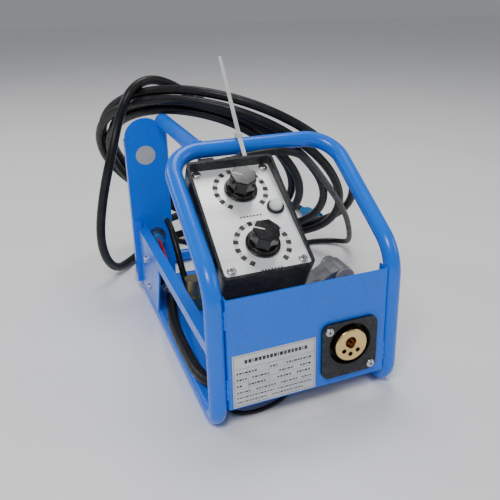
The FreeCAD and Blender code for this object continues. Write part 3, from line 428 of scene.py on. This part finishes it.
for material, names in LOOKS.items():
    for name in names.split():
        paint(nodes[name], material)
for lead in (main_lead, remote_lead, torch_lead):
    paint(lead, RUBBER)


def piece(name, bm, material, body="frame", smooth=True, bevel=0.0):
    obj = add(name, mesh_of(name, bm, smooth), body)
    if bevel:
        modifier = obj.modifiers.new("bevel", "BEVEL")
        modifier.width = bevel * MM
        modifier.segments = 2
        modifier.limit_method = "ANGLE"
        modifier.angle_limit = math.radians(40)
    return paint(obj, material)


# ------------------------------------------------------------------ the plug on the main lead

PLUG_FACE, PLUG_REAR = at(252, 491, 14), at(246.6, 551, 12.2)
PLUG_AXIS = (PLUG_FACE - PLUG_REAR).normalized()


def knurl(rows, depth, count):
    """Ripple that cuts ridges along the given profile rows."""
    return lambda row, angle: depth * math.cos(count * angle) if row in rows else 0.0


plug_profile = [(0, 0.2), (7.2, 0.2), (7.6, 1.5), (7.9, 4), (7.2, 5), (8.1, 7), (7.5, 8), (8.4, 10),
                (7.8, 11), (8.8, 13.5), (9.2, 15.4), (11.2, 15.6), (11.6, 16.4), (11.5, 17.5),
                (11.6, 40), (11.4, 41.2), (12.3, 41.8), (12.5, 43), (12.5, 58), (12.1, 59.6),
                (10.9, 60.0), (10.5, 59.4), (10.4, 53.6), (8.2, 53.5), (8.1, 58.2), (7.5, 58.7),
                (0, 58.7)]
plug = piece("plug_shell", place(lathe(plug_profile, 96, knurl((13, 14, 17, 18), 0.22, 24)),
                                 PLUG_REAR, PLUG_AXIS), BLUE_PLASTIC)
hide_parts("lead_plug")
pins = bmesh.new()
for angle, radius in [(0, 0.0)] + [(72 * i + 20, 5.0) for i in range(5)]:
    offset = PLUG_AXIS.orthogonal().normalized() * (radius * MM)
    offset.rotate(Matrix.Rotation(math.radians(angle), 3, PLUG_AXIS))
    pin = place(lathe([(0, 58), (1.1, 58), (1.1, 61.2), (0.7, 61.8), (0, 61.8)], 12),
                PLUG_REAR + offset, PLUG_AXIS)
    mesh = bpy.data.meshes.new("pin")
    pin.to_mesh(mesh)
    pins.from_mesh(mesh)
plug_pins = piece("plug_pins", pins, BRASS)


# ------------------------------------------------------------------ the control box's details

KNOB_X, KNOB_LOW, KNOB_HIGH = -35.5, 40.0, 115.0
DIAL_RADIUS, BLOCKS, DIAL_SPAN = 28.0, 27, 290


def polar(x, u, radius, degrees):
    angle = math.radians(degrees)
    return x + radius * math.cos(angle), u + radius * math.sin(angle)


def dial(name, u):
    """Printed scale: black blocks on a white ring, open at the bottom."""
    dark, pale = bmesh.new(), bmesh.new()
    first = 90 + DIAL_SPAN / 2
    step = DIAL_SPAN / BLOCKS
    for i in range(BLOCKS):
        a, b = first - i * step, first - (i + 1) * step
        wide = 2.9 if i % 2 == 0 else 2.2
        corners = [polar(KNOB_X, u, DIAL_RADIUS + side * wide, angle)
                   for side, angle in ((-1, b), (1, b), (1, a), (-1, a))]
        slab(dark if i % 2 == 0 else pale, corners, 0.02, 0.06, BOX)
    piece(name + "_blocks", dark, BLACK_PRINT_AND_RECESS_SHADE, smooth=False)
    piece(name + "_gaps", pale, WHITE_PRINT, smooth=False)


def pointer(name, u, body):
    """White pointer line let into the knob's cap."""
    line = bmesh.new()
    frame_here = BOX @ Matrix.Translation((KNOB_X * MM, u * MM, 0)) @ Matrix.Rotation(
        math.radians(90 + 64), 4, "Z")
    slab(line, [(2.0, -0.75), (13.2, -0.75), (13.2, 0.75), (2.0, 0.75)], 23.96, 0.12, frame_here)
    piece(name, line, WHITE_PRINT, body, smooth=False)


for label, u in (("lower", KNOB_LOW), ("upper", KNOB_HIGH)):
    dial("dial_" + label, u)
    pointer("pointer_" + label, u, label + "_knob")

marks = bmesh.new()
for u, width in ((77.5, 26), (8.6, 24)):
    for i in range(7):
        x = KNOB_X - width / 2 + i * width / 7
        slab(marks, [(x, u - 1), (x + width / 7 - 1.2, u - 1), (x + width / 7 - 1.2, u + 1),
                     (x, u + 1)], 0.02, 0.05, BOX)
piece("face_marks", marks, GREY_PRINT, smooth=False)


# ------------------------------------------------------------------ screws, welds, plates

def recess(bm, base, axis, turn):
    """Cross recess of a pan-head screw, as two dark bars of painted shade on its head."""
    spin = Vector((0, 0, 1)).rotation_difference(Vector(axis)).to_matrix().to_4x4()
    here = Matrix.Translation(base) @ spin @ Matrix.Rotation(math.radians(turn), 4, "Z")
    for long, wide in ((2.4, 0.5), (0.5, 2.4)):
        slab(bm, [(-long, -wide), (long, -wide), (long, wide), (-long, wide)], 2.97, 0.06, here)


FACE_NORMAL = BOX.to_3x3() @ Vector((0, 0, 1))
SOCKET_X, FLANGE_Z, SCREW_REACH = 45.6, 70.3, 25.7
# Dark bars of painted shade in the cross recess of each screw head.
crosses = bmesh.new()
for i, (x, u) in enumerate(((-77.5, 13.5), (-77.5, 142.5), (-0.5, 13.5), (-0.5, 142.5))):
    recess(crosses, on_box(x, u, 0), FACE_NORMAL, 20 + 33 * i)
for i, side in enumerate((-1, 1)):
    recess(crosses, at(SOCKET_X + side * SCREW_REACH, -4, FLANGE_Z - side * SCREW_REACH),
           (0, -1, 0), 12 + 40 * i)
for i, (y, z) in enumerate(((304, 75), (295, 36))):
    recess(crosses, at(-110.9, y, z), (-1, 0, 0), 25 + 30 * i)
for i, y in enumerate((46, 106)):
    recess(crosses, at(19, y, 24), (0, 0, 1), 50 * i)
piece("screw_recess_painted_shade", crosses, BLACK_PRINT_AND_RECESS_SHADE, smooth=False)

plate_marks, plate_bars = bmesh.new(), bmesh.new()
PLATE_FRONT = Matrix.Translation(at(0, -0.5, 0)) @ Matrix.Rotation(math.radians(90), 4, "X")
PLATE_LEFT, PLATE_RIGHT, PLATE_LOW, PLATE_HIGH = -85.6, 4.6, 30.4, 90.1


def bar(bm, x0, x1, z0, z1):
    slab(bm, [(x0, z0), (x1, z0), (x1, z1), (x0, z1)], 0.01, 0.05, PLATE_FRONT)


def dashes(bm, x0, x1, z, height, lengths):
    """A printed row, as blocks of uneven length."""
    x, i = x0, 0
    while x < x1 - 1:
        long = lengths[i % len(lengths)]
        bar(bm, x, min(x + long, x1), z, z + height)
        x += long + 1.1
        i += 1


for z in (PLATE_LOW, 74.6, PLATE_HIGH - 0.4):
    bar(plate_bars, PLATE_LEFT, PLATE_RIGHT, z, z + 0.4)
for x in (PLATE_LEFT, PLATE_RIGHT - 0.4):
    bar(plate_bars, x, x + 0.4, PLATE_LOW, PLATE_HIGH)
dashes(plate_marks, -74, -4, 80.2, 4.2, (3.2, 3.2, 1.2, 3.6, 3.0, 3.4, 2.6))
ROWS = [(68.6, -83, -60, 2), (68.6, -46, -36, 2), (68.6, -28, 1, 2), (61, -83, -72, 2),
        (61, -66, -48, 2), (61, -36, -20, 2), (61, -12, 1, 2), (53.4, -83, -76, 2),
        (53.4, -70, -50, 2), (53.4, -38, -22, 2), (53.4, -16, 1, 2), (45.8, -83, -68, 1.6),
        (45.8, -62, -40, 1.6), (45.8, -34, -14, 1.6), (45.8, -10, 1, 1.6), (39.4, -83, -42, 1.4),
        (39.4, -38, 1, 1.4), (34, -83, -50, 1.4), (34, -44, -8, 1.4)]
for z, x0, x1, height in ROWS:
    dashes(plate_marks, x0, x1, z, height, (1.9, 2.6, 1.3, 3.1, 2.2))
for z in (66.4, 58.8, 51.2, 43.6):
    bar(plate_bars, PLATE_LEFT, PLATE_RIGHT, z, z + 0.22)
for x in (-70.5, -47.5, -30):
    bar(plate_bars, x, x + 0.22, 43.6, 74.6)
piece("plate_print", plate_marks, BLACK_PRINT_AND_RECESS_SHADE, smooth=False)
piece("plate_lines", plate_bars, GREY_PRINT, smooth=False)


def weld(name, points, radius=1.5, closed=True):
    """A rippled weld bead along a line of points, under the paint."""
    curve = bpy.data.curves.new(name, "CURVE")
    curve.dimensions = "3D"
    spline = curve.splines.new("POLY")
    spline.points.add(len(points) - 1)
    for i, (slot, point) in enumerate(zip(spline.points, points)):
        slot.co = (*point, 1.0)
        slot.radius = radius * MM * (1.0 + 0.28 * math.sin(i * 2.1) + 0.1 * math.sin(i * 0.7))
    spline.use_cyclic_u = closed
    curve.bevel_depth = 1.0
    curve.bevel_resolution = 3
    curve.use_fill_caps = True
    paint(add(name, curve), BLUE)


TUBE = 9.5
WELD_STEPS, WELD_PITCH, PANEL_EDGE = 40, 2.6, 91.9


def saddle(centre):
    """Points where a tube along Y meets the side of a tube along X of the same radius."""
    points = []
    for i in range(WELD_STEPS):
        angle = math.radians(360 * i / WELD_STEPS)
        shift = Vector((TUBE * math.cos(angle), TUBE * abs(math.cos(angle)) + 0.2,
                        TUBE * math.sin(angle)))
        points.append(at(*(Vector(centre) + shift)))
    return points


weld("weld_spine_front", saddle((-65, TOP_Y, TOP_Z)))
for side in (-1, 1):
    heights = [40 + WELD_PITCH * i for i in range(10)]
    weld("weld_panel_%s" % ("left" if side < 0 else "right"),
         [at(side * PANEL_EDGE, 2.2 + 0.4 * math.sin(z), z) for z in heights], 1.3, closed=False)
weld("weld_panel_left_top", [at(-PANEL_EDGE, 2.4, 122 + WELD_PITCH * i) for i in range(9)], 1.3,
     closed=False)
weld("weld_rail_rear", [at(-110.4 + 12.2 * i / 8, 349.8, 108.4) for i in range(9)], 1.2,
     closed=False)
weld("weld_rear_foot", [at(-114 + 3 * i, 349.9, 21.4) for i in range(17)], 1.2, closed=False)

SEAL_RADIUS, SEAL_STEPS = 13.6, 48
seal = bmesh.new()
outline = [(SEAL_RADIUS * math.cos(2 * math.pi * i / SEAL_STEPS),
            SEAL_RADIUS * math.sin(2 * math.pi * i / SEAL_STEPS)) for i in range(SEAL_STEPS)]
slab(seal, outline, 0.05, 0.2,
     Matrix.Translation(at(-90, 350, 212)) @ Matrix.Rotation(math.radians(90), 4, "X"))
piece("round_seal", seal, STICKER, smooth=False)


# ------------------------------------------------------------------ small working parts

def helix(name, base, radius, wire, height, coils, material, body):
    """A coil spring standing at base along Z."""
    curve = bpy.data.curves.new(name, "CURVE")
    curve.dimensions = "3D"
    spline = curve.splines.new("POLY")
    count = coils * 20
    spline.points.add(count)
    for i, slot in enumerate(spline.points):
        angle = 2 * math.pi * i / 20
        lift = wire / 2 + (height - wire) * i / count
        offset = Vector((radius * math.cos(angle), radius * math.sin(angle), lift)) * MM
        slot.co = (*(Vector(base) + offset), 1.0)
        slot.radius = wire / 2 * MM
    curve.bevel_depth = 1.0
    curve.bevel_resolution = 4
    curve.use_fill_caps = True
    return paint(add(name, curve, body), material)


spring = helix("pressure_spring", at(23.3, 75, 113), 4.7, 1.7, 10.6, 4, STEEL,
               "pressure_arm")
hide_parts("adjusting_spring")

boot_profile = [(0, -0.5), (6.8, -0.5), (7.0, 1), (6.4, 2.5), (6.7, 4), (6.0, 5.5), (6.3, 7),
                (5.7, 8.5), (5.9, 10), (5.4, 11.5), (5.5, 13), (5.0, 14.5), (5.1, 18), (4.6, 18.4),
                (0, 18.4)]
for name, base, axis in (("remote_lead_boot", (-51, 148.3, 245), (24.8, -0.9, 6.5)),
                         ("remote_lead_rear_boot", (-84, 363, 91), (4, 34.8, -9))):
    piece(name, place(lathe(boot_profile, 40), at(*base), Vector(axis).normalized()), RUBBER)
gland_profile = [(0, 0), (13.4, 0), (14.4, 1), (14.4, 6.6), (13.4, 7.8), (11.4, 8.0), (11.2, 10),
                 (10.2, 10.6), (10.6, 12.6), (9.6, 13.2), (10.0, 15.2), (9.0, 15.8), (9.3, 17.8),
                 (8.3, 18.4), (8.6, 20.4), (7.8, 21), (7.8, 24.8), (6.8, 25.2), (0, 25.2)]
piece("gland_boot", place(lathe(gland_profile, 60, knurl((2, 3), 0.35, 12)),
                          at(-88, 352.7, 52), (0, 1, 0)), HUB)
grip_profile = [(0, 0), (6.4, 0), (7.2, 0.6), (8.5, 3), (8.5, 10), (7.8, 11.6), (6, 12.05), (0, 12.1)]
piece("adjuster_grip", place(lathe(grip_profile, 72, knurl((3, 4), 0.35, 12)),
                             at(23.3, 75, 124.0), (0, 0, 1)), PALE_GREY, "adjuster")
bolt = bmesh.new()
hexagon = [(4.6 * math.cos(math.radians(60 * i)), 4.6 * math.sin(math.radians(60 * i)))
           for i in range(6)]
slab(bolt, hexagon, 40.2, 4.0, Matrix.Translation(at(-90, 279, 0)))
disc = [(5.6 * math.cos(math.radians(10 * i)), 5.6 * math.sin(math.radians(10 * i)))
        for i in range(36)]
slab(bolt, disc, 40.15, 1.0, Matrix.Translation(at(-90, 279, 0)))
piece("lug_bolt", bolt, ZINC, smooth=False, bevel=0.3)

TEETH = 36
teeth = bmesh.new()
shaft_line = Matrix.Translation(at(0, 75, 57.8)) @ Matrix.Rotation(math.pi / 2, 4, "Y")
for i in range(TEETH):
    corners = [polar(0, 0, radius, 360 * i / TEETH + side)
               for radius, side in ((9.4, -2.2), (9.85, -1.2), (9.85, 1.2), (9.4, 2.2))]
    slab(teeth, corners, 51.4, 5.4, shaft_line)
piece("roll_nut_knurl", teeth, STEEL, "drive_roll", smooth=False)


# ------------------------------------------------------------------ studio

def light(name, spot, target, size, power):
    data = bpy.data.lights.new(name, "AREA")
    data.shape = "RECTANGLE"
    data.size, data.size_y = size
    data.energy = power
    obj = bpy.data.objects.new(name, data)
    bpy.context.scene.collection.objects.link(obj)
    obj.location = spot
    obj.rotation_euler = (Vector(target) - Vector(spot)).to_track_quat("-Z", "Y").to_euler()


light("key", (-0.7, -1.2, 1.7), (0, 0, 0.1), (0.7, 0.5), 22)
light("fill", (1.9, -1.0, 1.1), (0, 0, 0.15), (1.0, 0.8), 6)
light("top", (0.3, 0.6, 2.0), (0, 0.1, 0.1), (1.0, 0.7), 16)
light("rim", (-1.6, 1.3, 1.2), (0, 0.1, 0.15), (0.8, 0.6), 10)

world = bpy.data.worlds.new("world")
world.use_nodes = True
world.node_tree.nodes["Background"].inputs["Color"].default_value = (0.93, 0.95, 1.0, 1)
world.node_tree.nodes["Background"].inputs["Strength"].default_value = 0.28
bpy.context.scene.world = world

FLOOR_REACH = 6.0
floor_mesh = bmesh.new()
bmesh.ops.create_grid(floor_mesh, x_segments=1, y_segments=1, size=FLOOR_REACH)
floor = bpy.data.objects.new("floor", mesh_of("floor", floor_mesh, False))
bpy.context.scene.collection.objects.link(floor)
floor.location.z = -0.0005
pale = Graph("floor_paper", (0.93, 0.93, 0.93), 0.6)
pale.rough(pale.noise(3, 3), 0.5, 0.7)
paint(floor, pale.mat)
